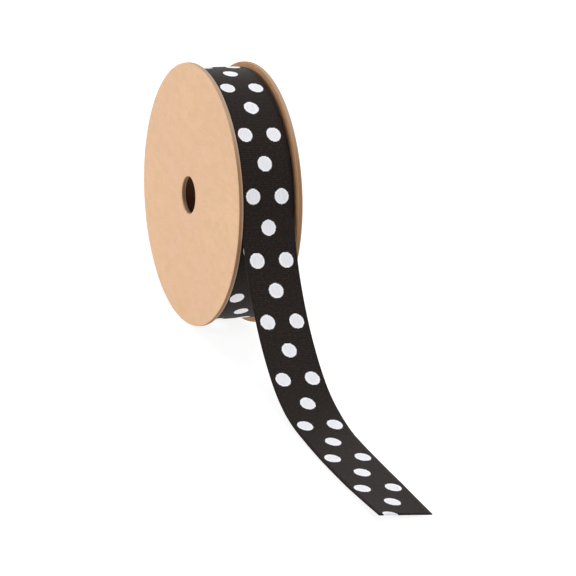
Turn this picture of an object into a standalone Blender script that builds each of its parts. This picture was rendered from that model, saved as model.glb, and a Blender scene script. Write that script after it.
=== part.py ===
"""Jacquard ribbon on a flanged card spool.

The spool stands on the rims of its two flanges, as on a table. The ribbon's loose end comes off the front
of the roll, bends away and comes to lie on the same table.

X runs along the spool's axis, Y from the cut end of the ribbon towards the spool, Z up. The origin is the
middle of the footprint, on the table.
"""

import math

import bmesh
import bpy
from mathutils import Matrix, Vector

# Flanges: two discs punched from kraft board
FLANGE_RADIUS = 0.055
FLANGE_THICKNESS = 0.002
FLANGE_CLEAR_WIDTH = 0.0238
HOLE_RADIUS = 0.00775
RIM_FLAT_CHORD = 0.008
BOARD_EDGE_ROUNDING = 0.0003

# Core: a short spiral-wound paper tube between the flanges
CORE_OUTER_RADIUS = 0.017
CORE_WALL = 0.0025

# Ribbon
RIBBON_WIDTH = 0.022
RIBBON_SIDE_SHIFT = -0.00055
ROLL_OUTER_RADIUS = 0.05304
SHEET_THICKNESS = 0.001
CLEARANCE = 0.0003

# Loose end: the height at which it leaves the roll, then its bends as (length, turn) down to the table
LEAVES_ROLL_AT = math.radians(14.2)
BENDS = (
    (0.016, math.radians(13.5)),
    (0.018, math.radians(10.0)),
    (0.020, math.radians(8.7)),
    (0.020, math.radians(11.2)),
    (0.018, math.radians(17.5)),
    (0.016, math.radians(11.6)),
    (0.018, math.radians(3.3)),
)
FLAT_LENGTH = 0.047

# Resolution
FLANGE_SEGMENTS = 144
ROLL_SEGMENTS = 180
STEPS_PER_BEND = 6

# Derived sizes
AXIS_HEIGHT = math.sqrt(FLANGE_RADIUS**2 - (RIM_FLAT_CHORD / 2) ** 2)
FLANGE_CENTRE = (FLANGE_CLEAR_WIDTH + FLANGE_THICKNESS) / 2
LAYER_STEP = SHEET_THICKNESS + CLEARANCE


def loose_end_path():
    """Points (y, z) of the loose end's upper face, from the roll to the cut, with the axis at y = 0."""
    gap_angle = CLEARANCE / ROLL_OUTER_RADIUS
    start_angle = LEAVES_ROLL_AT - gap_angle
    slope = start_angle - math.pi / 2
    start = Vector(
        (
            -ROLL_OUTER_RADIUS * math.cos(start_angle),
            AXIS_HEIGHT + ROLL_OUTER_RADIUS * math.sin(start_angle),
        )
    )
    # The bends end level, and their lengths are stretched together so that the flat part meets the table
    turn_left = -slope / sum(turn for _, turn in BENDS)
    steps = []
    angle = slope
    for length, turn in BENDS:
        part_turn = turn * turn_left / STEPS_PER_BEND
        for _ in range(STEPS_PER_BEND):
            middle = angle + part_turn / 2
            steps.append(Vector((-math.cos(middle), math.sin(middle))) * (length / STEPS_PER_BEND))
            angle += part_turn
    drop = start.y - SHEET_THICKNESS
    stretch = drop / -sum(step.y for step in steps)
    points = [start]
    for step in steps:
        points.append(points[-1] + step * stretch)
    last = points[-1]
    for part in (0.5, 1.0):
        points.append(Vector((last.x - FLAT_LENGTH * part, SHEET_THICKNESS)))
    return points


PATH = loose_end_path()
SPOOL_Y = -(PATH[-1].x + FLANGE_RADIUS) / 2


def clear_scene():
    """Remove every object of the start-up file."""
    for obj in list(bpy.data.objects):
        bpy.data.objects.remove(obj, do_unlink=True)


def new_collection(name):
    collection = bpy.data.collections.new(name)
    bpy.context.scene.collection.children.link(collection)
    return collection


def material(name, colour, roughness):
    """A plain Principled material."""
    made = bpy.data.materials.new(name)
    made.use_nodes = True
    shader = made.node_tree.nodes["Principled BSDF"]
    shader.inputs["Base Color"].default_value = (*colour, 1.0)
    shader.inputs["Roughness"].default_value = roughness
    return made


def object_from(name, mesh_builder, collection, finish=None):
    """Build a mesh with bmesh and link it as one object."""
    mesh = bpy.data.meshes.new(name)
    bm = bmesh.new()
    mesh_builder(bm)
    bmesh.ops.recalc_face_normals(bm, faces=bm.faces)
    bm.to_mesh(mesh)
    bm.free()
    obj = bpy.data.objects.new(name, mesh)
    collection.objects.link(obj)
    if finish is not None:
        mesh.materials.append(finish)
        for face in mesh.polygons:
            face.use_smooth = True
    return obj


def cylinder(radius, length, centre, segments):
    """A closed cylinder along X."""

    def build(bm):
        turn = Matrix.Rotation(math.pi / 2, 4, "Y")
        bmesh.ops.create_cone(
            bm,
            cap_ends=True,
            segments=segments,
            radius1=radius,
            radius2=radius,
            depth=length,
            matrix=Matrix.Translation(centre) @ turn,
        )

    return build


def block(size, centre):
    def build(bm):
        bmesh.ops.create_cube(bm, size=1.0, matrix=Matrix.Translation(centre) @ Matrix.Diagonal((*size, 1.0)))

    return build


def cutter(name, builder):
    obj = object_from(name, builder, CUTTERS)
    obj.hide_render = True
    obj.display_type = "WIRE"
    return obj


def cut(obj, tool):
    """Cut one object from another with an exact Boolean."""
    boolean = obj.modifiers.new("cut " + tool.name, "BOOLEAN")
    boolean.operation = "DIFFERENCE"
    boolean.solver = "EXACT"
    boolean.object = tool


def round_edges(obj, width, segments, angle=35.0):
    bevel = obj.modifiers.new("rounded edges", "BEVEL")
    bevel.width = width
    bevel.segments = segments
    bevel.limit_method = "ANGLE"
    bevel.angle_limit = math.radians(angle)


def spool_point(x, up=0.0):
    """A point on or above the spool's axis."""
    return Vector((x, SPOOL_Y, AXIS_HEIGHT + up))


def add_flange(name, x, finish):
    """A disc with the centre hole and the small flat it stands on."""
    disc = object_from(
        name,
        cylinder(FLANGE_RADIUS, FLANGE_THICKNESS, spool_point(x), FLANGE_SEGMENTS),
        PART,
        finish,
    )
    cut(disc, HOLE)
    cut(disc, TABLE_CUT)
    round_edges(disc, BOARD_EDGE_ROUNDING, 2)
    return disc


def roll_outline(bm):
    """The wound ribbon: one turn of the spiral with the step where the loose end leaves, drawn out in X."""
    left = RIBBON_SIDE_SHIFT - RIBBON_WIDTH / 2
    ring = []
    for index in range(ROLL_SEGMENTS + 1):
        part = index / ROLL_SEGMENTS
        angle = LEAVES_ROLL_AT + 2 * math.pi * part
        radius = ROLL_OUTER_RADIUS - LAYER_STEP * part
        ring.append(
            bm.verts.new(
                (
                    left,
                    SPOOL_Y - radius * math.cos(angle),
                    AXIS_HEIGHT + radius * math.sin(angle),
                )
            )
        )
    face = bm.faces.new(ring)
    drawn = bmesh.ops.extrude_face_region(bm, geom=[face])
    moved = [item for item in drawn["geom"] if isinstance(item, bmesh.types.BMVert)]
    bmesh.ops.translate(bm, verts=moved, vec=(RIBBON_WIDTH, 0.0, 0.0))


def tail_surface(bm):
    """The loose end's upper face: a flat grid bent along the path."""
    rows = len(PATH) - 1
    bmesh.ops.create_grid(bm, x_segments=2, y_segments=rows, size=0.5)
    for vert in bm.verts:
        across = vert.co.x
        row = round((vert.co.y + 0.5) * rows)
        y, z = PATH[row]
        vert.co = Vector((RIBBON_SIDE_SHIFT + RIBBON_WIDTH * across, SPOOL_Y + y, z))


def add_tail():
    """The loose end as a sheet, thickened away from its upper face."""
    tail = object_from("ribbon_tail", tail_surface, PART, LOOSE_RIBBON)
    mesh = tail.data
    if sum(face.normal.z for face in mesh.polygons) < 0:
        mesh.flip_normals()
    thicken = tail.modifiers.new("thickness", "SOLIDIFY")
    thicken.thickness = SHEET_THICKNESS
    thicken.offset = -1.0
    thicken.use_even_offset = True
    return tail


clear_scene()
PART = new_collection("jacquard ribbon spool")
CUTTERS = new_collection("cutters")
KRAFT_NEAR = material("near kraft board", (0.76, 0.53, 0.34), 0.75)
KRAFT_FAR = material("far kraft board", (0.76, 0.53, 0.34), 0.75)
PAPER = material("core paper", (0.45, 0.29, 0.18), 0.85)
WOUND_RIBBON = material("wound ribbon", (0.02, 0.017, 0.016), 0.6)
LOOSE_RIBBON = material("loose ribbon", (0.02, 0.017, 0.016), 0.6)

THROUGH = 2 * (FLANGE_CLEAR_WIDTH + 4 * FLANGE_THICKNESS)
TABLE_CUT = cutter("table level", block((THROUGH, 0.06, 0.02), (0.0, SPOOL_Y, -0.01)))
HOLE = cutter("centre hole", cylinder(HOLE_RADIUS, THROUGH, spool_point(0.0), 64))
BORE = cutter(
    "wound bore",
    cylinder(CORE_OUTER_RADIUS + CLEARANCE, THROUGH, spool_point(0.0), 96),
)
CORE_BORE = cutter(
    "core bore",
    cylinder(CORE_OUTER_RADIUS - CORE_WALL, THROUGH, spool_point(0.0), 96),
)

add_flange("flange_near", -FLANGE_CENTRE, KRAFT_NEAR)
add_flange("flange_far", FLANGE_CENTRE, KRAFT_FAR)

core = object_from(
    "core",
    cylinder(
        CORE_OUTER_RADIUS,
        FLANGE_CLEAR_WIDTH - 2 * CLEARANCE,
        spool_point(0.0),
        96,
    ),
    PART,
    PAPER,
)
cut(core, CORE_BORE)

roll = object_from("ribbon_roll", roll_outline, PART, WOUND_RIBBON)
cut(roll, BORE)

add_tail()
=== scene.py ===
"""A spool of jacquard ribbon: kraft board flanges on a paper core, wound with black ribbon woven with white dots.

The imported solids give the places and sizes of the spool. The ribbon is built as the weaver sells it: one long
sheet wound in turns on the core, whose loose end bends away from the roll and comes to lie on the table.
"""

import logging
import math
from dataclasses import dataclass, field
from enum import Enum

import bmesh
import bpy
from mathutils import Matrix, Quaternion, Vector


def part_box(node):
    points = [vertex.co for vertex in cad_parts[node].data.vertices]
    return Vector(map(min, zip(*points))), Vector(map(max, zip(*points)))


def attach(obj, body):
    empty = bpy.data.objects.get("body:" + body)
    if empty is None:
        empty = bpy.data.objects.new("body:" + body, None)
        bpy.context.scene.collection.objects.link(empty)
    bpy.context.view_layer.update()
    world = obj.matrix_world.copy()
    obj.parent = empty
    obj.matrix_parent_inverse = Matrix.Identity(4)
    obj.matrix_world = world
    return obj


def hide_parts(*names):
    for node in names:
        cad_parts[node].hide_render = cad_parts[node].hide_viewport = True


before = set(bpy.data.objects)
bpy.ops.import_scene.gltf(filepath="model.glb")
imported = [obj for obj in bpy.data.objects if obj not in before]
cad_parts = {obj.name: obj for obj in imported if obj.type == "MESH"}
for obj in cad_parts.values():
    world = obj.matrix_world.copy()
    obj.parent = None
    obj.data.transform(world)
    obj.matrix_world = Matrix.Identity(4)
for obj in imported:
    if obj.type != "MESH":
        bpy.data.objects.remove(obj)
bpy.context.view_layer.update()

LOG = logging.getLogger("ribbon_spool")
MM = 0.001
BODY = "root"
WEAVE_MAP = "weave"
BOARD_MAP = "board_edge"
ARRIS_SEGMENTS = 5
MERGE_DISTANCE = 1e-7
PAPER_IOR = 1.5


class BoardFace(Enum):
    """Material slots of a punched board disc."""

    OUTER_LINER = 0
    # Inner faces: the liner drawn darker and redder as painted shade
    SHADED_INNER_LINER = 1
    CUT_EDGE = 2


class RibbonSide(Enum):
    """Material slots of the woven ribbon."""

    FACE = 0
    REVERSE = 1


def linear(hex_colour: str) -> tuple[float, float, float, float]:
    """Turn an sRGB hex colour into the linear values that the shaders work in.

    Args:
        hex_colour: The colour as "#RRGGBB".

    Returns:
        Red, green, blue and an alpha of 1.
    """
    channels = [int(hex_colour[i : i + 2], 16) / 255 for i in (1, 3, 5)]
    red, green, blue = (c / 12.92 if c <= 0.04045 else ((c + 0.055) / 1.055) ** 2.4 for c in channels)
    return red, green, blue, 1.0


def add(
    tree: bpy.types.NodeTree,
    kind: str,
    settings: dict[str, object] | None = None,
    inputs: dict[int | str, object] | None = None,
) -> bpy.types.Node:
    """Add one node with its settings, its values and its links.

    Args:
        tree: The node tree it goes in.
        kind: The node's type name.
        settings: Properties of the node.
        inputs: Sockets by name or number, each with a value or with the socket that feeds it.

    Returns:
        The new node.
    """
    node = tree.nodes.new(kind)
    for name, value in (settings or {}).items():
        setattr(node, name, value)
    for key, value in (inputs or {}).items():
        if isinstance(value, bpy.types.NodeSocket):
            tree.links.new(value, node.inputs[key])
        else:
            node.inputs[key].default_value = value
    return node


def blank_material(name: str) -> tuple[bpy.types.Material, bpy.types.NodeTree, bpy.types.Node]:
    """Make a material that holds only its output.

    Args:
        name: The material's name.

    Returns:
        The material, its node tree and its output node.
    """
    made = bpy.data.materials.new(name)
    made.use_nodes = True
    tree = made.node_tree
    tree.nodes.clear()
    return made, tree, tree.nodes.new("ShaderNodeOutputMaterial")


def finished_object(name: str, bm: bmesh.types.BMesh, materials: list[bpy.types.Material]) -> bpy.types.Object:
    """Turn a bmesh into a linked object that sits at the origin.

    Args:
        name: The piece's name.
        bm: The mesh, which is freed.
        materials: Its material slots in order.

    Returns:
        The object.
    """
    mesh = bpy.data.meshes.new(name)
    bm.to_mesh(mesh)
    bm.free()
    for one in materials:
        mesh.materials.append(one)
    obj = bpy.data.objects.new(name, mesh)
    bpy.context.scene.collection.objects.link(obj)
    return obj


# Finishes


@dataclass(frozen=True)
class KraftLiner:
    """Kraft liner paper on board, pressed smooth: warm tan, dull, with a cloudy formation and short fibres."""

    name: str = "kraft liner paper"
    tan: str = "#D5AF8B"
    cloud: str = "#CEA884"
    rosy: str = "#D3AB8D"
    pale_fibre: str = "#DDBB9A"
    dark_fibre: str = "#BC8E6B"
    # Sizes along the paper's web, which runs level here, and across it; through the board nothing changes
    cloud_mm: tuple[float, float] = (8.0, 3.5)
    drift_mm: float = 45.0
    fibre_mm: tuple[float, float] = (2.4, 0.4)
    fibre_share: float = 0.6
    through_mm: float = 10.0
    tooth_mm: float = 0.45
    tooth_height_mm: float = 0.012
    roughness: float = 0.78
    specular: float = 0.35

    def material(self) -> bpy.types.Material:
        """Build the liner's material."""
        made, tree, output = blank_material(self.name)
        place = add(tree, "ShaderNodeTexCoord").outputs["Object"]
        drift = add(
            tree,
            "ShaderNodeTexNoise",
            inputs={"Vector": place, "Scale": 1 / (self.drift_mm * MM), "Detail": 1.0},
        ).outputs[0]
        ground = add(
            tree,
            "ShaderNodeMix",
            {"data_type": "RGBA"},
            {
                0: add(
                    tree, "ShaderNodeMapRange", inputs={"Value": drift, "From Min": 0.35, "From Max": 0.65}
                ).outputs[0],
                6: linear(self.tan),
                7: linear(self.rosy),
            },
        ).outputs[2]
        # Cloudy formation first, then pale and dark fibres that show one by one: size, slant in radians, colour,
        # the noise levels at which the colour starts and is full, and its share
        layers = (
            (self.cloud_mm, 0.0, self.cloud, 0.35, 0.65, 1.0),
            (self.fibre_mm, 0.22, self.pale_fibre, 0.58, 0.74, self.fibre_share),
            (self.fibre_mm, -0.30, self.dark_fibre, 0.60, 0.76, self.fibre_share),
        )
        for size, turn, colour, low, high, most in layers:
            laid = add(
                tree,
                "ShaderNodeMapping",
                {"vector_type": "TEXTURE"},
                {
                    "Vector": place,
                    "Location": (turn, turn, 0.0),
                    "Rotation": (turn, 0.0, 0.0),
                    "Scale": (self.through_mm * MM, size[0] * MM, size[1] * MM),
                },
            ).outputs[0]
            formed = add(
                tree,
                "ShaderNodeTexNoise",
                inputs={"Vector": laid, "Scale": 1.0, "Detail": 3.0, "Roughness": 0.55, "Distortion": 0.4},
            ).outputs[0]
            share = add(
                tree,
                "ShaderNodeMapRange",
                inputs={"Value": formed, "From Min": low, "From Max": high, "To Max": most},
            ).outputs[0]
            ground = add(
                tree, "ShaderNodeMix", {"data_type": "RGBA"}, {0: share, 6: ground, 7: linear(colour)}
            ).outputs[2]
        tooth = add(
            tree,
            "ShaderNodeTexNoise",
            inputs={"Vector": place, "Scale": 1 / (self.tooth_mm * MM), "Detail": 3.0, "Roughness": 0.6},
        )
        relief = add(
            tree,
            "ShaderNodeBump",
            inputs={"Height": tooth.outputs[0], "Distance": self.tooth_height_mm * MM, "Strength": 1.0},
        )
        shader = add(
            tree,
            "ShaderNodeBsdfPrincipled",
            inputs={
                "Base Color": ground,
                "Roughness": self.roughness,
                "IOR": PAPER_IOR,
                "Specular IOR Level": self.specular,
                "Normal": relief.outputs[0],
            },
        )
        tree.links.new(shader.outputs[0], output.inputs["Surface"])
        return made


@dataclass(frozen=True)
class PunchedEdge:
    """Cut edge of solid board: bare brown pulp pressed in plies, smeared dark by the punch and greyer behind.

    The cut is paler towards the top and the bottom of the disc, darkest where it faces a little below the front
    and a little above the back. The board map holds millimetres through the board and millimetres along the cut.
    """

    smeared: str = "#94704F"
    pulp: str = "#A07B5C"
    dark_pulp: str = "#84634A"
    grey_ply: str = "#AE9C8A"
    pale_cut: str = "#BBA28D"
    ply_line: str = "#72543B"
    darkest_facing_deg: float = 190.0
    # Squared cosines of the angle to the darkest-facing direction between which the cut turns pale
    pale_turns: tuple[float, float] = (0.62, 0.25)
    pale_share: float = 0.65
    # Depths from the outer face, except that a ply line is measured from its own middle
    smeared_mm: tuple[float, float] = (0.30, 0.05)
    grey_mm: tuple[float, float] = (1.2, 1.75)
    ply_line_mm: tuple[float, float] = (0.07, 0.01)
    ply_mm: float = 0.5
    wander_mm: float = 0.5
    fuzz_mm: tuple[float, float] = (0.35, 1.4)
    fuzz_height_mm: float = 0.05
    roughness: float = 0.92
    specular: float = 0.2

    def material(self) -> bpy.types.Material:
        """Build the cut edge's material."""
        made, tree, output = blank_material("punched board edge")
        cut_map = add(tree, "ShaderNodeUVMap", {"uv_map": BOARD_MAP}).outputs[0]
        laid = add(
            tree,
            "ShaderNodeMapping",
            {"vector_type": "TEXTURE"},
            {"Vector": cut_map, "Scale": (self.fuzz_mm[0], self.fuzz_mm[1], 1.0)},
        ).outputs[0]
        fuzz = add(
            tree, "ShaderNodeTexNoise", inputs={"Vector": laid, "Scale": 1.0, "Detail": 4.0, "Roughness": 0.65}
        ).outputs[0]
        through = add(tree, "ShaderNodeSeparateXYZ", inputs={0: cut_map}).outputs[0]
        wandering = add(
            tree, "ShaderNodeMath", {"operation": "MULTIPLY_ADD"}, {0: fuzz, 1: self.wander_mm, 2: through}
        ).outputs[0]
        colour = add(
            tree,
            "ShaderNodeMix",
            {"data_type": "RGBA"},
            {0: fuzz, 6: linear(self.pulp), 7: linear(self.dark_pulp)},
        ).outputs[2]
        # The cut is drawn paler by the way it faces round the disc: towards the top and the bottom
        turn = math.radians(self.darkest_facing_deg)
        toward_darkest = add(
            tree,
            "ShaderNodeVectorMath",
            {"operation": "DOT_PRODUCT"},
            {
                0: add(tree, "ShaderNodeTexCoord").outputs["Normal"],
                1: (0.0, math.cos(turn), math.sin(turn)),
            },
        ).outputs["Value"]
        darkest_alignment = add(
            tree, "ShaderNodeMath", {"operation": "MULTIPLY"}, {0: toward_darkest, 1: toward_darkest}
        ).outputs[0]
        start, end = self.pale_turns
        pale_here = add(
            tree,
            "ShaderNodeMapRange",
            inputs={"Value": darkest_alignment, "From Min": start, "From Max": end, "To Max": self.pale_share},
        ).outputs[0]
        colour = add(
            tree, "ShaderNodeMix", {"data_type": "RGBA"}, {0: pale_here, 6: colour, 7: linear(self.pale_cut)}
        ).outputs[2]
        ply = add(tree, "ShaderNodeMath", {"operation": "PINGPONG"}, {0: wandering, 1: self.ply_mm / 2}).outputs[0]
        # The fuzz shifts every depth by half its reach on average
        mean_shift = self.wander_mm / 2
        bands = (
            (ply, self.ply_line_mm, 0.0, 0.35, self.ply_line),
            (wandering, self.smeared_mm, mean_shift, 0.8, self.smeared),
            (wandering, self.grey_mm, mean_shift, 0.75, self.grey_ply),
        )
        for value, (start, end), shift, most, band_colour in bands:
            share = add(
                tree,
                "ShaderNodeMapRange",
                inputs={"Value": value, "From Min": start + shift, "From Max": end + shift, "To Max": most},
            ).outputs[0]
            colour = add(
                tree, "ShaderNodeMix", {"data_type": "RGBA"}, {0: share, 6: colour, 7: linear(band_colour)}
            ).outputs[2]
        relief = add(
            tree, "ShaderNodeBump", inputs={"Height": fuzz, "Distance": self.fuzz_height_mm * MM, "Strength": 1.0}
        )
        shader = add(
            tree,
            "ShaderNodeBsdfPrincipled",
            inputs={
                "Base Color": colour,
                "Roughness": self.roughness,
                "IOR": PAPER_IOR,
                "Specular IOR Level": self.specular,
                "Normal": relief.outputs[0],
            },
        )
        tree.links.new(shader.outputs[0], output.inputs["Surface"])
        return made


@dataclass(frozen=True)
class WoundPaper:
    """Spiral-wound paper tube: plain brown paper with slanting ply seams, dull."""

    paper: str = "#86613F"
    shade: str = "#6F4F34"
    seam: str = "#584029"
    seam_mm: float = 14.0
    seam_slant: float = 0.9
    seam_reach_mm: tuple[float, float] = (0.3, 0.1)
    seam_share: float = 0.4
    fibre_mm: float = 1.2
    fibre_height_mm: float = 0.02
    roughness: float = 0.9

    def material(self) -> bpy.types.Material:
        """Build the tube's material."""
        made, tree, output = blank_material("spiral wound paper")
        turn_map = add(tree, "ShaderNodeUVMap", {"uv_map": WEAVE_MAP}).outputs[0]
        parts = add(tree, "ShaderNodeSeparateXYZ", inputs={0: turn_map})
        fibres = add(
            tree,
            "ShaderNodeTexNoise",
            inputs={"Vector": turn_map, "Scale": 1 / self.fibre_mm, "Detail": 4.0, "Roughness": 0.6},
        )
        paper = add(
            tree,
            "ShaderNodeMix",
            {"data_type": "RGBA"},
            {0: fibres.outputs[0], 6: linear(self.paper), 7: linear(self.shade)},
        ).outputs[2]
        slant = add(
            tree,
            "ShaderNodeMath",
            {"operation": "MULTIPLY_ADD"},
            {0: parts.outputs[0], 1: self.seam_slant, 2: parts.outputs[1]},
        ).outputs[0]
        distance = add(
            tree, "ShaderNodeMath", {"operation": "PINGPONG"}, {0: slant, 1: self.seam_mm / 2}
        ).outputs[0]
        start, end = self.seam_reach_mm
        line = add(
            tree,
            "ShaderNodeMapRange",
            inputs={"Value": distance, "From Min": start, "From Max": end, "To Max": self.seam_share},
        )
        colour = add(
            tree, "ShaderNodeMix", {"data_type": "RGBA"}, {0: line.outputs[0], 6: paper, 7: linear(self.seam)}
        ).outputs[2]
        relief = add(
            tree,
            "ShaderNodeBump",
            inputs={"Height": fibres.outputs[0], "Distance": self.fibre_height_mm * MM, "Strength": 1.0},
        )
        shader = add(
            tree,
            "ShaderNodeBsdfPrincipled",
            inputs={
                "Base Color": colour,
                "Roughness": self.roughness,
                "IOR": PAPER_IOR,
                "Normal": relief.outputs[0],
            },
        )
        tree.links.new(shader.outputs[0], output.inputs["Surface"])
        return made


@dataclass(frozen=True)
class JacquardWeave:
    """Woven polyester ribbon: a matt black plain weave with white satin dots in rows of one and two.

    The weave map holds millimetres across the ribbon and dot rows along it.
    """

    row_mm: float = 12.709
    pair_mm: float = 12.22
    dot_across_mm: float = 6.05
    dot_along_mm: float = 6.25
    single_shift_mm: float = -0.35
    # Real threads lie 0.25 mm apart across and 0.36 mm apart along; the dots' outline steps by them
    end_mm: float = 0.25
    pick_mm: float = 0.36
    # Too fine to show at their true pitch, so the weave's tone and relief are drawn at twice it
    shown_end_mm: float = 0.5
    shown_pick_mm: float = 0.72
    black: str = "#0F0B0A"
    # Paler black for the uneven patches and for the painted highlight on the picks' crowns
    black_patch_and_crown_highlight: str = "#271F1D"
    white: str = "#E0E1E6"
    # Painted highlight on the short floats round each dot's outline
    white_painted_highlight: str = "#EEEEF2"
    reverse_white: str = "#8F8F92"
    # Shares of the dot's radius: its outline, and the band of short floats inside it, painted paler as a highlight
    outline: tuple[float, float] = (1.035, 0.995)
    highlight_band: tuple[float, float] = (0.74, 0.96)
    uneven_floats: float = 0.04
    float_mm: tuple[float, float] = (0.55, 4.0)
    patch_mm: float = 1.1
    # How much the painted shade between the threads shows in the ground's tone
    weave_shade_in_tone: float = 0.35
    tone_range: tuple[float, float] = (0.57, 0.78)
    thread_height_mm: float = 0.05
    dot_height_mm: float = 0.05
    black_roughness: float = 0.72
    satin_roughness: float = 0.5
    specular: float = 0.19
    sheen: float = 0.02
    sheen_roughness: float = 0.4
    fibre_ior: float = 1.5

    def dot_distance(
        self, tree: bpy.types.NodeTree, across: bpy.types.NodeSocket, along: bpy.types.NodeSocket
    ) -> bpy.types.NodeSocket:
        """Measure how far a thread crossing lies from the nearest dot's middle.

        Args:
            tree: The material's nodes.
            across: Millimetres across the ribbon.
            along: Millimetres along it.

        Returns:
            The distance, where 1 is the dot's outline.
        """
        threads = []
        for value, pitch in ((across, self.end_mm), (along, self.pick_mm)):
            middle = add(tree, "ShaderNodeMath", {"operation": "ADD"}, {0: value, 1: pitch / 2}).outputs[0]
            threads.append(add(tree, "ShaderNodeMath", {"operation": "SNAP"}, {0: middle, 1: pitch}).outputs[0])
        end, pick = threads
        aside = add(tree, "ShaderNodeMath", {"operation": "ABSOLUTE"}, {0: end}).outputs[0]
        beside = add(tree, "ShaderNodeMath", {"operation": "SUBTRACT"}, {0: aside, 1: self.pair_mm / 2}).outputs[0]
        nearest = None
        for sideways, shift in ((end, -self.single_shift_mm), (beside, self.row_mm)):
            moved = add(tree, "ShaderNodeMath", {"operation": "ADD"}, {0: pick, 1: shift}).outputs[0]
            lengthways = add(tree, "ShaderNodeMath", {"operation": "PINGPONG"}, {0: moved, 1: self.row_mm}).outputs[0]
            spot = add(tree, "ShaderNodeCombineXYZ", inputs={0: sideways, 1: lengthways}).outputs[0]
            scaled = add(
                tree,
                "ShaderNodeVectorMath",
                {"operation": "MULTIPLY"},
                {0: spot, 1: (2 / self.dot_across_mm, 2 / self.dot_along_mm, 1.0)},
            ).outputs[0]
            distance = add(tree, "ShaderNodeVectorMath", {"operation": "LENGTH"}, {0: scaled}).outputs["Value"]
            if nearest is None:
                nearest = distance
            else:
                nearest = add(tree, "ShaderNodeMath", {"operation": "MINIMUM"}, {0: nearest, 1: distance}).outputs[0]
        # Each pick starts and stops its white float a little early or late
        uneven = add(tree, "ShaderNodeTexWhiteNoise", {"noise_dimensions": "1D"}, {"W": pick}).outputs["Value"]
        return add(
            tree, "ShaderNodeMath", {"operation": "MULTIPLY_ADD"}, {0: uneven, 1: self.uneven_floats, 2: nearest}
        ).outputs[0]

    def plain_weave(
        self, tree: bpy.types.NodeTree, across: bpy.types.NodeSocket, along: bpy.types.NodeSocket
    ) -> bpy.types.NodeSocket:
        """Draw the height of a plain weave, whose picks pass over alternate ends.

        Args:
            tree: The material's nodes.
            across: Millimetres across the ribbon.
            along: Millimetres along it.

        Returns:
            The height from 0 to 1.
        """
        picks = add(tree, "ShaderNodeMath", {"operation": "DIVIDE"}, {0: along, 1: self.shown_pick_mm}).outputs[0]
        ends = add(tree, "ShaderNodeMath", {"operation": "DIVIDE"}, {0: across, 1: self.shown_end_mm}).outputs[0]
        row = add(tree, "ShaderNodeMath", {"operation": "FLOOR"}, {0: picks}).outputs[0]
        offset = add(tree, "ShaderNodeMath", {"operation": "MULTIPLY_ADD"}, {0: row, 1: 0.5, 2: ends}).outputs[0]
        over = add(tree, "ShaderNodeMath", {"operation": "PINGPONG"}, {0: offset, 1: 0.5}).outputs[0]
        thread = add(tree, "ShaderNodeMath", {"operation": "PINGPONG"}, {0: picks, 1: 0.5}).outputs[0]
        crossing = add(tree, "ShaderNodeMath", {"operation": "ADD"}, {0: over, 1: 0.5}).outputs[0]
        rounded = add(tree, "ShaderNodeMath", {"operation": "MULTIPLY"}, {0: thread, 1: 2.0}).outputs[0]
        return add(tree, "ShaderNodeMath", {"operation": "MULTIPLY"}, {0: crossing, 1: rounded}).outputs[0]

    def material(self, side: RibbonSide) -> bpy.types.Material:
        """Build the ribbon's material for one side.

        Args:
            side: The face, or the reverse, where black threads cross the white floats.

        Returns:
            The material.
        """
        reverse = side is RibbonSide.REVERSE
        made, tree, output = blank_material("jacquard weave reverse" if reverse else "jacquard weave face")
        woven = add(tree, "ShaderNodeUVMap", {"uv_map": WEAVE_MAP}).outputs[0]
        parts = add(tree, "ShaderNodeSeparateXYZ", inputs={0: woven})
        across = parts.outputs[0]
        along = add(tree, "ShaderNodeMath", {"operation": "MULTIPLY"}, {0: parts.outputs[1], 1: self.row_mm}).outputs[0]
        cloth_mm = add(tree, "ShaderNodeCombineXYZ", inputs={0: across, 1: along}).outputs[0]
        distance = self.dot_distance(tree, across, along)
        weave = self.plain_weave(tree, across, along)
        # The outline's floats are short and stand up; the light they catch is painted into their colour as a highlight
        dot, highlight_share = (
            add(
                tree, "ShaderNodeMapRange", inputs={"Value": distance, "From Min": start, "From Max": end}
            ).outputs[0]
            for start, end in (self.outline, self.highlight_band)
        )
        middle_white, highlight_white = (self.reverse_white,) * 2 if reverse else (self.white, self.white_painted_highlight)
        white = add(
            tree,
            "ShaderNodeMix",
            {"data_type": "RGBA"},
            {0: highlight_share, 6: linear(middle_white), 7: linear(highlight_white)},
        ).outputs[2]
        # Satin floats run lengthways, as long streaks
        laid_floats = add(
            tree,
            "ShaderNodeMapping",
            {"vector_type": "TEXTURE"},
            {"Vector": cloth_mm, "Scale": (*self.float_mm, 1.0)},
        ).outputs[0]
        floats = add(
            tree, "ShaderNodeTexNoise", inputs={"Vector": laid_floats, "Scale": 1.0, "Detail": 2.0}
        ).outputs[0]
        lean = add(
            tree,
            "ShaderNodeMapRange",
            inputs={"Value": floats, "From Min": 0.3, "From Max": 0.7, "To Min": 0.94, "To Max": 1.05},
        ).outputs[0]
        satin = add(tree, "ShaderNodeVectorMath", {"operation": "SCALE"}, {0: white, "Scale": lean}).outputs[0]
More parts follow.
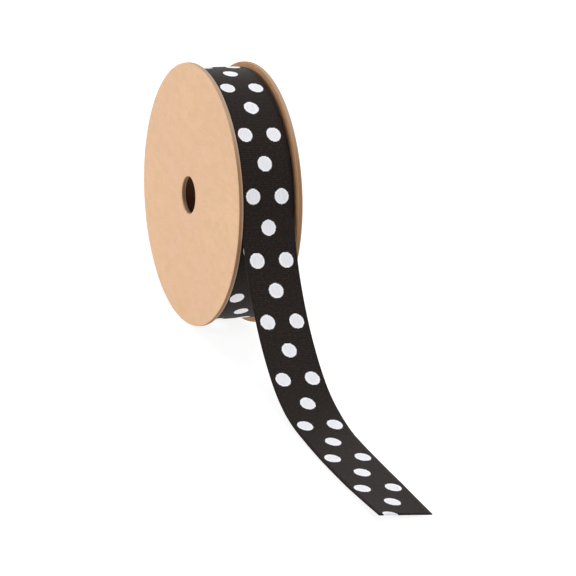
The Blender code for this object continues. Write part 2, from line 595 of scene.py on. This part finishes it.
        # Ground: the picks' crowns are painted paler than the gaps, as painted shade between the threads, over uneven
        # patches from the beating-up
        patches = add(
            tree,
            "ShaderNodeTexNoise",
            inputs={"Vector": cloth_mm, "Scale": 1 / self.patch_mm, "Detail": 4.0, "Roughness": 0.75},
        ).outputs[0]
        crown_shade_and_patches = add(
            tree, "ShaderNodeMath", {"operation": "MULTIPLY_ADD"}, {0: weave, 1: self.weave_shade_in_tone, 2: patches}
        ).outputs[0]
        low, high = self.tone_range
        tone = add(tree, "ShaderNodeMapRange", inputs={"Value": crown_shade_and_patches, "From Min": low, "From Max": high}).outputs[0]
        ground = add(
            tree,
            "ShaderNodeMix",
            {"data_type": "RGBA"},
            {0: tone, 6: linear(self.black), 7: linear(self.black_patch_and_crown_highlight)},
        ).outputs[2]
        colour = add(tree, "ShaderNodeMix", {"data_type": "RGBA"}, {0: dot, 6: ground, 7: satin}).outputs[2]
        woven_height = add(
            tree, "ShaderNodeMath", {"operation": "MULTIPLY_ADD"}, {0: patches, 1: 0.5, 2: weave}
        ).outputs[0]
        float_height = add(
            tree,
            "ShaderNodeMath",
            {"operation": "MULTIPLY_ADD"},
            {0: floats, 1: 0.6, 2: self.dot_height_mm / self.thread_height_mm},
        ).outputs[0]
        height = add(
            tree, "ShaderNodeMix", {"data_type": "FLOAT"}, {0: dot, 2: woven_height, 3: float_height}
        ).outputs[0]
        relief = add(
            tree, "ShaderNodeBump", inputs={"Height": height, "Distance": self.thread_height_mm * MM, "Strength": 0.8}
        )
        roughness = add(
            tree,
            "ShaderNodeMapRange",
            inputs={"Value": dot, "To Min": self.black_roughness, "To Max": self.satin_roughness},
        ).outputs[0]
        shader = add(
            tree,
            "ShaderNodeBsdfPrincipled",
            inputs={
                "Base Color": colour,
                "Roughness": roughness,
                "IOR": self.fibre_ior,
                "Specular IOR Level": self.specular,
                "Specular Tint": linear("#FFF4EC"),
                "Sheen Weight": self.sheen,
                "Sheen Roughness": self.sheen_roughness,
                "Sheen Tint": linear("#FFF0E6"),
                "Normal": relief.outputs[0],
            },
        )
        tree.links.new(shader.outputs[0], output.inputs["Surface"])
        return made


@dataclass(frozen=True)
class LightTable:
    """Frosted acrylic of a light table, lit from below so that little shadow shows."""

    white: str = "#8A8A8A"
    glow: float = 0.88

    def material(self) -> bpy.types.Material:
        """Build the light table's material."""
        made, tree, output = blank_material("frosted light table")
        shader = add(
            tree,
            "ShaderNodeBsdfPrincipled",
            inputs={
                "Base Color": linear(self.white),
                "Roughness": 0.95,
                "Specular IOR Level": 0.1,
                "Emission Color": linear("#FFFFFF"),
                "Emission Strength": self.glow,
            },
        )
        tree.links.new(shader.outputs[0], output.inputs["Surface"])
        return made


# The spool


@dataclass
class SpoolPlace:
    """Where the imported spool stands: its axis and its flanges' size, read from the solids."""

    centre_y: float
    axis_height: float
    flange_radius: float

    @classmethod
    def from_solids(cls) -> "SpoolPlace":
        """Read the place from the near flange's box.

        Returns:
            The spool's place.
        """
        low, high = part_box("flange_near")
        radius = (high.y - low.y) / 2
        return cls(centre_y=(high.y + low.y) / 2, axis_height=high.z - radius, flange_radius=radius)

    def point(self, x: float) -> Vector:
        """Give the point of the axis at x."""
        return Vector((x, self.centre_y, self.axis_height))

    def angle_of(self, spot: Vector, home: Vector) -> float:
        """Give a point's angle about the axis, unrolled so that a face at the seam isn't torn.

        Args:
            spot: The point.
            home: Its face's middle, whose angle it stays within half a turn of.

        Returns:
            The angle in radians.
        """
        angle, home_angle = (math.atan2(at.z - self.axis_height, at.y - self.centre_y) for at in (spot, home))
        return angle + math.tau * round((home_angle - angle) / math.tau)


def lathe_ring(
    low_x: float,
    high_x: float,
    inner: float,
    outer: float,
    place: SpoolPlace,
    roundings: tuple[float, float],
    steps: int,
) -> bmesh.types.BMesh:
    """Turn a rounded rectangle about the spool's axis.

    Args:
        low_x: Where the ring starts along the axis.
        high_x: Where it ends.
        inner: Its inner radius.
        outer: Its outer radius.
        place: The spool's place.
        roundings: The radius of its edges at low_x, and at high_x.
        steps: How many faces go round.

    Returns:
        The closed ring.
    """
    bm = bmesh.new()
    bmesh.ops.create_grid(bm, x_segments=1, y_segments=1, size=0.5)
    middle = place.point((low_x + high_x) / 2) + Vector((0.0, 0.0, (inner + outer) / 2))
    stand_up = Matrix.Rotation(math.pi / 2, 4, "X")
    size = Matrix.Diagonal((high_x - low_x, outer - inner, 1.0, 1.0))
    bmesh.ops.transform(bm, matrix=Matrix.Translation(middle) @ stand_up @ size, verts=bm.verts)
    ends = [[vert for vert in bm.verts if (vert.co.x > middle.x) is high] for high in (False, True)]
    for corners, rounding in zip(ends, roundings):
        bmesh.ops.bevel(
            bm,
            geom=corners,
            offset=rounding,
            offset_type="OFFSET",
            segments=ARRIS_SEGMENTS,
            profile=0.5,
            affect="VERTICES",
            material=-1,
        )
    bmesh.ops.delete(bm, geom=list(bm.faces), context="FACES_ONLY")
    bmesh.ops.spin(
        bm,
        geom=list(bm.verts) + list(bm.edges),
        cent=place.point(0.0),
        axis=(1.0, 0.0, 0.0),
        angle=math.tau,
        steps=steps,
        use_merge=True,
    )
    bmesh.ops.remove_doubles(bm, verts=bm.verts, dist=MERGE_DISTANCE)
    bmesh.ops.recalc_face_normals(bm, faces=bm.faces)
    return bm


@dataclass
class CardFlange:
    """A disc punched from solid board with kraft liner on both faces, standing on its rim.

    The punch comes in from the outer face, so it rolls the liner over there and leaves the inner edge sharp.
    """

    node: str
    place: SpoolPlace
    hole_radius: float = 7.75 * MM
    rolled_edge: float = 0.75 * MM
    sharp_edge: float = 0.25 * MM
    # How squarely a face must look along the axis to carry liner, and to be shaded flat
    liner_from: float = 0.6
    smooth_until: float = 0.999
    steps: int = 240
    outer_liner: bpy.types.Material | None = None
    # The inner faces' liner is a darker, redder copy, painted shade for the spool's narrow gap
    shaded_inner_liner: bpy.types.Material | None = None
    cut_edge: bpy.types.Material | None = None

    def side_of(self, face: bmesh.types.BMFace, middle_x: float) -> BoardFace:
        """Tell which material a face of the disc takes.

        Args:
            face: The face.
            middle_x: The disc's middle along the axis.

        Returns:
            The material slot.
        """
        if abs(face.normal.x) < self.liner_from:
            return BoardFace.CUT_EDGE
        return BoardFace.SHADED_INNER_LINER if face.normal.x * middle_x < 0 else BoardFace.OUTER_LINER

    def map_edge(self, bm: bmesh.types.BMesh, low_x: float) -> None:
        """Lay the board map: millimetres through the board and millimetres round it.

        Args:
            bm: The disc.
            low_x: Where the board starts along the axis.
        """
        layer = bm.loops.layers.uv.new(BOARD_MAP)
        for face in bm.faces:
            home = face.calc_center_median()
            radius = math.hypot(home.y - self.place.centre_y, home.z - self.place.axis_height)
            for loop in face.loops:
                spot = loop.vert.co
                loop[layer].uv = ((spot.x - low_x) / MM, self.place.angle_of(spot, home) * radius / MM)

    def build(self) -> bpy.types.Object:
        """Build the disc, press its rim flat where it stands and dress it.

        Returns:
            The flange.
        """
        low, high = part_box(self.node)
        roundings = (self.rolled_edge, self.sharp_edge) if high.x < 0 else (self.sharp_edge, self.rolled_edge)
        bm = lathe_ring(
            low.x, high.x, self.hole_radius, self.place.flange_radius, self.place, roundings, self.steps
        )
        self.map_edge(bm, low.x)
        for vert in bm.verts:
            vert.co.z = max(vert.co.z, 0.0)
        for face in bm.faces:
            face.material_index = self.side_of(face, (low.x + high.x) / 2).value
            face.smooth = abs(face.normal.x) < self.smooth_until
        disc = finished_object(f"{self.node}_board", bm, [self.outer_liner, self.shaded_inner_liner, self.cut_edge])
        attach(disc, BODY)
        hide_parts(self.node)
        return disc


@dataclass
class PaperCore:
    """The short paper tube that the flanges are glued to."""

    place: SpoolPlace
    node: str = "core"
    wall: float = 2.5 * MM
    cut_rounding: float = 0.1 * MM
    smooth_until: float = 0.98
    steps: int = 96
    paper: bpy.types.Material | None = None

    def build(self) -> bpy.types.Object:
        """Build the tube between the flanges' inner faces and unroll its paper map.

        Returns:
            The core.
        """
        low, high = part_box(self.node)
        outer = (high.y - low.y) / 2
        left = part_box("flange_near")[1].x
        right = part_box("flange_far")[0].x
        edges = (self.cut_rounding, self.cut_rounding)
        bm = lathe_ring(left, right, outer - self.wall, outer, self.place, edges, self.steps)
        layer = bm.loops.layers.uv.new(WEAVE_MAP)
        for face in bm.faces:
            face.smooth = abs(face.normal.x) < self.smooth_until
            home = face.calc_center_median()
            for loop in face.loops:
                spot = loop.vert.co
                loop[layer].uv = (spot.x / MM, self.place.angle_of(spot, home) * outer / MM)
        tube = finished_object("core_tube", bm, [self.paper])
        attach(tube, BODY)
        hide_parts(self.node)
        return tube


# The ribbon


@dataclass(frozen=True)
class Stretch:
    """A length of the loose end with one bend and one twist, both spread evenly over it."""

    length_mm: float
    bend_deg: float
    twist_deg: float


@dataclass(frozen=True)
class Station:
    """One crosswise line of the ribbon: its middle on the face side, and the directions across and out."""

    along_mm: float
    middle: Vector
    across: Vector
    out: Vector


@dataclass
class JacquardRibbon:
    """One ribbon: many turns on the core, then a last turn and a half whose loose end runs out on the table."""

    place: SpoolPlace
    width_mm: float = 22.0
    thickness_mm: float = 0.34
    # The roll: its turns, its place across the spool and how the turns underneath wander on top of that
    turn_pitch_mm: float = 0.36
    roll_radius_mm: float = 53.04
    leaves_at_deg: float = 14.2
    outer_turns: float = 1.5
    side_shift_mm: float = -0.74
    under_shift_mm: float = 1.12
    slow_wander_mm: float = 0.20
    quick_wander_mm: float = 0.12
    # The woven rows, from the first single dot above the loose end down to the cut
    row_mm: float = 12.709
    back_row_mm: float = 13.0
    front_rows_mm: float = -63.0
    end_row_mm: float = 11.9
    end_rows_mm: float = 165.0
    first_row_above_mm: float = 15.3
    weft_skew: float = 0.024
    end_skew: float = 0.2
    end_skew_from_mm: float = 178.0
    cut_slant_mm: float = 1.5
    # How finely the sheets are divided
    roll_step_mm: float = 1.7
    loose_step_mm: float = 1.5
    inner_steps_per_turn: int = 72
    columns: int = 12
    settling_rounds: int = 4
    face: bpy.types.Material | None = None
    reverse: bpy.types.Material | None = None
    stretches: tuple[Stretch, ...] = field(
        default=(
            Stretch(16.0, 12.54, 2.59),
            Stretch(18.0, 11.09, -0.55),
            Stretch(20.0, 9.49, -1.07),
            Stretch(20.0, 10.08, -0.64),
            Stretch(18.0, 17.45, -0.09),
            Stretch(16.0, 11.81, -2.73),
            Stretch(18.0, 3.03, 0.69),
            Stretch(22.0, 1.60, -0.67),
            Stretch(25.3, 1.36, -4.67),
        )
    )

    def rows_at(self, along_mm: float) -> float:
        """Give the pattern's row at a place along the ribbon.

        The turns behind the front are drawn out a little, and the weave is beaten up closer near the cut.

        Args:
            along_mm: Millimetres down from the first single dot above the loose end.

        Returns:
            The row as a number.
        """
        plain_mm = min(max(along_mm, self.front_rows_mm), self.end_rows_mm)
        pitch_mm = self.end_row_mm if along_mm > plain_mm else self.back_row_mm
        return plain_mm / self.row_mm + (along_mm - plain_mm) / pitch_mm

    def skew_at(self, along_mm: float) -> float:
        """Give the weft's skew: slight all along the ribbon, and pulled further askew at the cut.

        Args:
            along_mm: Millimetres down from the first single dot above the loose end.

        Returns:
            Millimetres along the ribbon for each millimetre across it.
        """
        end_mm = self.first_row_above_mm + sum(part.length_mm for part in self.stretches)
        pulled = max(along_mm - self.end_skew_from_mm, 0.0) / (end_mm - self.end_skew_from_mm)
        return self.weft_skew + self.end_skew * pulled

    def side_at(self, turn: float) -> float:
        """Give the ribbon's place across the spool; the turns underneath wander as a winder lays them.

        Args:
            turn: Turns back from where the loose end leaves.

        Returns:
            Millimetres from the spool's middle.
        """
        settled_over = 1.2
        under = min(max((turn - self.outer_turns) / settled_over, 0.0), 1.0)
        slow = self.slow_wander_mm * math.sin(turn * 1.19 + 1.0)
        quick = self.quick_wander_mm * math.sin(turn * 2.9 + 0.4)
        return self.side_shift_mm + under * (self.under_shift_mm + slow + quick)

    def on_roll(self, back_mm: float, turn: float) -> Station:
        """Give the station on the roll.

        Args:
            back_mm: Ribbon length back from where the loose end leaves.
            turn: The same in turns.

        Returns:
            The station.
        """
        angle = math.radians(self.leaves_at_deg) + math.tau * turn
        radius = (self.roll_radius_mm - self.turn_pitch_mm * turn) * MM
        out = Vector((0.0, -math.cos(angle), math.sin(angle)))
        return Station(
            along_mm=self.first_row_above_mm - back_mm,
            middle=self.place.point(self.side_at(turn) * MM) + out * radius,
            across=Vector((1.0, 0.0, 0.0)),
            out=out,
        )

    def roll_stations(self, first_turn: float, last_turn: float, steps_per_turn: int) -> list[Station]:
        """Walk along the wound ribbon towards the loose end.

        Args:
            first_turn: The turn to start at, counted back from where the loose end leaves.
            last_turn: The turn to end at.
            steps_per_turn: How finely a turn is divided.

        Returns:
            The stations, the innermost first.
        """
        steps = round((first_turn - last_turn) * steps_per_turn)
        stations = []
        for index in range(steps + 1):
            turn = first_turn + (last_turn - first_turn) * index / steps
            mean_radius = self.roll_radius_mm - self.turn_pitch_mm * turn / 2
            stations.append(self.on_roll(math.tau * mean_radius * turn, turn))
        return stations

    def loose_stations(self, stretch_by: float) -> list[Station]:
        """Walk down the loose end from the roll to the cut.

        Args:
            stretch_by: A factor on the stretches' lengths.

        Returns:
            The stations after the first, which is the roll's last.
        """
        start = self.on_roll(0.0, 0.0)
        middle, across, out = start.middle.copy(), start.across.copy(), start.out.copy()
        down = across.cross(out)
        along = start.along_mm
        stations = []
        for part in self.stretches:
            steps = round(part.length_mm / self.loose_step_mm)
            length = part.length_mm * stretch_by / steps
            half_bend = math.radians(part.bend_deg) / steps / 2
            half_twist = math.radians(part.twist_deg) / steps / 2
            for _ in range(steps):
                for half in range(2):
                    turn = Quaternion(down, half_twist) @ Quaternion(across, -half_bend)
                    down, across, out = turn @ down, turn @ across, turn @ out
                    if half == 0:
                        middle = middle + down * length * MM
                along += length
                stations.append(Station(along, middle.copy(), across.copy(), out.copy()))
        return stations

    def underside_height(self, stations: list[Station]) -> float:
        """Give the height of the lowest edge of the loose end's underside.

        Args:
            stations: The loose end's crosswise lines.

        Returns:
            The height above the table, in metres.
        """
        heights = []
        for one in stations:
            under = one.middle - one.out * self.thickness_mm * MM
            for side in (-0.5, 0.5):
                heights.append((under + one.across * self.width_mm * side * MM).z)
        return min(heights)

    def settled_loose_end(self) -> list[Station]:
        """Lengthen or shorten the stretches by a hair until the loose end just touches the table.

        Returns:
            The loose end's stations.
        """
        drop = self.on_roll(0.0, 0.0).middle.z
        factor = 1.0
        for _ in range(self.settling_rounds):
            stations = self.loose_stations(factor)
            factor *= 1 + self.underside_height(stations) / drop
        return stations

    def sheet_mesh(self, stations: list[Station], columns: int, slant_mm: float = 0.0) -> bmesh.types.BMesh:
        """Bend a flat grid along the stations and give it its weave map.

        Args:
            stations: The crosswise lines in order.
            columns: How many faces lie across the ribbon.
            slant_mm: How much longer the cut leaves the left edge than the right.

        Returns:
            The sheet's face side, with its normals out.
        """
        bm = bmesh.new()
        rows = len(stations) - 1
        bmesh.ops.create_grid(bm, x_segments=columns, y_segments=rows, size=0.5)
        layer = bm.loops.layers.uv.new(WEAVE_MAP)
        shares = {}
        for vert in bm.verts:
            index = round((vert.co.y + 0.5) * rows)
            station = stations[index]
            share = vert.co.x
            across_mm = share * self.width_mm
            along_mm, spot = station.along_mm, station.middle + station.across * across_mm * MM
            if slant_mm and index == rows:
                # The scissors ran a little askew
                along_mm -= share * slant_mm
                spot -= station.across.cross(station.out) * share * slant_mm * MM
            shares[vert] = (across_mm, self.rows_at(along_mm) - across_mm * self.skew_at(along_mm) / self.row_mm)
            vert.co = spot
        for face in bm.faces:
            face.smooth = True
            for loop in face.loops:
                loop[layer].uv = shares[loop.vert]
        bm.normal_update()
        axis = self.place.point(0.0)
        lead = sum(face.normal.dot(face.calc_center_median() - axis) for face in bm.faces[:rows])
        if lead < 0:
            bmesh.ops.reverse_faces(bm, faces=bm.faces)
        return bm

    def thicken(self, obj: bpy.types.Object) -> None:
        """Give a sheet its thickness behind its face side.

        Args:
            obj: The sheet.
        """
        wall = obj.modifiers.new("ribbon thickness", "SOLIDIFY")
        wall.thickness = self.thickness_mm * MM
        wall.offset = -1.0
        wall.use_even_offset = True
        wall.material_offset = RibbonSide.REVERSE.value

    def length_mm(self, stations: list[Station]) -> float:
        """Add up the length of ribbon between the first and the last station."""
        return stations[-1].along_mm - stations[0].along_mm

    def build_inner_turns(self) -> bpy.types.Object:
        """Build the turns from the core up to the last turn and a half.

        Returns:
            The wound turns as one spiral sheet.
        """
        core_low, core_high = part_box("core")
        core_radius_mm = (core_high.y - core_low.y) / 2 / MM
        turns = (self.roll_radius_mm - core_radius_mm - self.turn_pitch_mm) / self.turn_pitch_mm
        # Whole quarter turns, and a hair of a turn left free so that the two sheets don't meet
        first = self.outer_turns + math.floor((turns - self.outer_turns) * 4) / 4
        free_turn = 0.01
        stations = self.roll_stations(first, self.outer_turns + free_turn, self.inner_steps_per_turn)
        obj = finished_object("ribbon_wound_turns", self.sheet_mesh(stations, 1), [self.face, self.reverse])
        self.thicken(obj)
        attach(obj, BODY)
        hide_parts("ribbon_roll")
        length = self.length_mm(stations)
        LOG.info("wound turns: %.1f turns, %.2f m of ribbon", first - self.outer_turns, length * MM)
        return obj

    def build_outer_turn(self) -> bpy.types.Object:
        """Build the last turn and a half with the loose end.

        Returns:
            The ribbon's outer part as one sheet.
        """
        per_turn = round(math.tau * self.roll_radius_mm / self.roll_step_mm)
        wound = self.roll_stations(self.outer_turns, 0.0, per_turn)
        stations = wound + self.settled_loose_end()
        sheet = self.sheet_mesh(stations, self.columns, self.cut_slant_mm)
        obj = finished_object("ribbon_loose_end", sheet, [self.face, self.reverse])
        self.thicken(obj)
        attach(obj, BODY)
        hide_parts("ribbon_tail")
        length = self.length_mm(stations)
        loose = stations[-1].along_mm - self.first_row_above_mm
        LOG.info("outer turn and loose end: %.0f mm, loose %.0f mm", length, loose)
        return obj


# The studio


@dataclass(frozen=True)
class Softbox:
    """A square soft light."""

    name: str
    at: tuple[float, float, float]
    size: float
    watts: float


@dataclass
class Studio:
    """A white sweep with soft light from the left and above, and the camera at the photograph's place."""

    camera_at: Vector = field(default_factory=lambda: Vector((-0.29973, -0.63670, 0.30094)))
    aims_at: Vector = field(default_factory=lambda: Vector((0.02190, 0.03833, 0.02213)))
    roll_deg: float = 5.445
    lens_mm: float = 119.362
    clip: tuple[float, float] = (0.01, 50.0)
    floor_radius: float = 4.0
    # The sweep's brightness at the horizon and overhead, and the heights between which it fades
    horizon: float = 0.80
    overhead_sky: float = 0.38
    fade: tuple[float, float] = (0.12, 0.40)
    lit_spot: Vector = field(default_factory=lambda: Vector((0.0, 0.0, 0.05)))
    softboxes: tuple[Softbox, ...] = (
        Softbox("left softbox", (-1.6, 0.45, 0.20), 1.1, 16.0),
        Softbox("front softbox", (0.4, -1.5, 1.3), 1.0, 5.2),
        Softbox("back softbox", (0.5, 1.7, 0.75), 1.2, 8.0),
        Softbox("overhead softbox", (0.2, 0.12, 1.8), 1.2, 20.8),
    )

    def build_floor(self) -> bpy.types.Object:
        """Lay the pale floor."""
        bm = bmesh.new()
        bmesh.ops.create_circle(bm, cap_ends=True, segments=96, radius=self.floor_radius)
        floor = finished_object("floor", bm, [LightTable().material()])
        return floor

    def hang(self, box: Softbox) -> None:
        """Hang a soft light that points at the lit spot.

        Args:
            box: The light.
        """
        data = bpy.data.lights.new(box.name, "AREA")
        data.shape = "SQUARE"
        data.size = box.size
        data.energy = box.watts
        light = bpy.data.objects.new(box.name, data)
        light.location = box.at
        light.rotation_euler = (self.lit_spot - Vector(box.at)).to_track_quat("-Z", "Y").to_euler()
        bpy.context.scene.collection.objects.link(light)

    def light(self) -> None:
        """Light the sweep evenly, with the stronger side on the left."""
        world = bpy.data.worlds.new("studio")
        bpy.context.scene.world = world
        world.use_nodes = True
        tree = world.node_tree
        tree.nodes.clear()
        height = add(
            tree,
            "ShaderNodeSeparateXYZ",
            inputs={0: add(tree, "ShaderNodeTexCoord").outputs["Generated"]},
        ).outputs[2]
        # A white sweep behind the table that fades into a dim ceiling
        strength = add(
            tree,
            "ShaderNodeMapRange",
            inputs={
                "Value": height,
                "From Min": self.fade[0],
                "From Max": self.fade[1],
                "To Min": self.horizon,
                "To Max": self.overhead_sky,
            },
        ).outputs[0]
        sky = add(tree, "ShaderNodeBackground", inputs={"Color": linear("#FFFFFF"), "Strength": strength})
        tree.links.new(sky.outputs[0], tree.nodes.new("ShaderNodeOutputWorld").inputs["Surface"])
        for box in self.softboxes:
            self.hang(box)

    def place_camera(self) -> None:
        """Set the camera where the photograph was taken, turned about its line of sight as it was held."""
        data = bpy.data.cameras.new("camera")
        data.lens = self.lens_mm
        data.sensor_width = 36.0
        data.sensor_fit = "HORIZONTAL"
        data.clip_start, data.clip_end = self.clip
        camera = bpy.data.objects.new("camera", data)
        sight = (self.aims_at - self.camera_at).normalized()
        level = sight.to_track_quat("-Z", "Y")
        camera.rotation_mode = "QUATERNION"
        camera.rotation_quaternion = Quaternion(sight, -math.radians(self.roll_deg)) @ level
        camera.location = self.camera_at
        bpy.context.scene.collection.objects.link(camera)
        bpy.context.scene.camera = camera

    def build(self) -> None:
        """Build the floor, the lights and the camera."""
        self.build_floor()
        self.light()
        self.place_camera()


def main() -> None:
    """Build the spool, the ribbon and the studio in order."""
    logging.basicConfig(level=logging.INFO, format="%(name)s: %(message)s")
    bpy.context.scene.view_settings.view_transform = "Standard"
    place = SpoolPlace.from_solids()
    outer_liner = KraftLiner().material()
    # The inner faces take a darker, redder copy of the liner: painted shade for the faces that look into the spool's
    # narrow gap
    shaded_inner_liner = KraftLiner(
        name="kraft inner liner",
        tan="#CC9C70",
        cloud="#C5946A",
        rosy="#CA9870",
        pale_fibre="#D4A880",
        dark_fibre="#B07F57",
    ).material()
    cut_edge = PunchedEdge().material()
    for node in ("flange_near", "flange_far"):
        board = CardFlange(
            node=node, place=place, outer_liner=outer_liner, shaded_inner_liner=shaded_inner_liner, cut_edge=cut_edge
        ).build()
        LOG.info("%s: %d faces", board.name, len(board.data.polygons))
    core = PaperCore(place=place, paper=WoundPaper().material()).build()
    LOG.info("%s: %d faces", core.name, len(core.data.polygons))
    weave = JacquardWeave()
    ribbon = JacquardRibbon(
        place=place,
        face=weave.material(RibbonSide.FACE),
        reverse=weave.material(RibbonSide.REVERSE),
    )
    ribbon.build_inner_turns()
    ribbon.build_outer_turn()
    Studio().build()


if __name__ == "__main__":
    main()
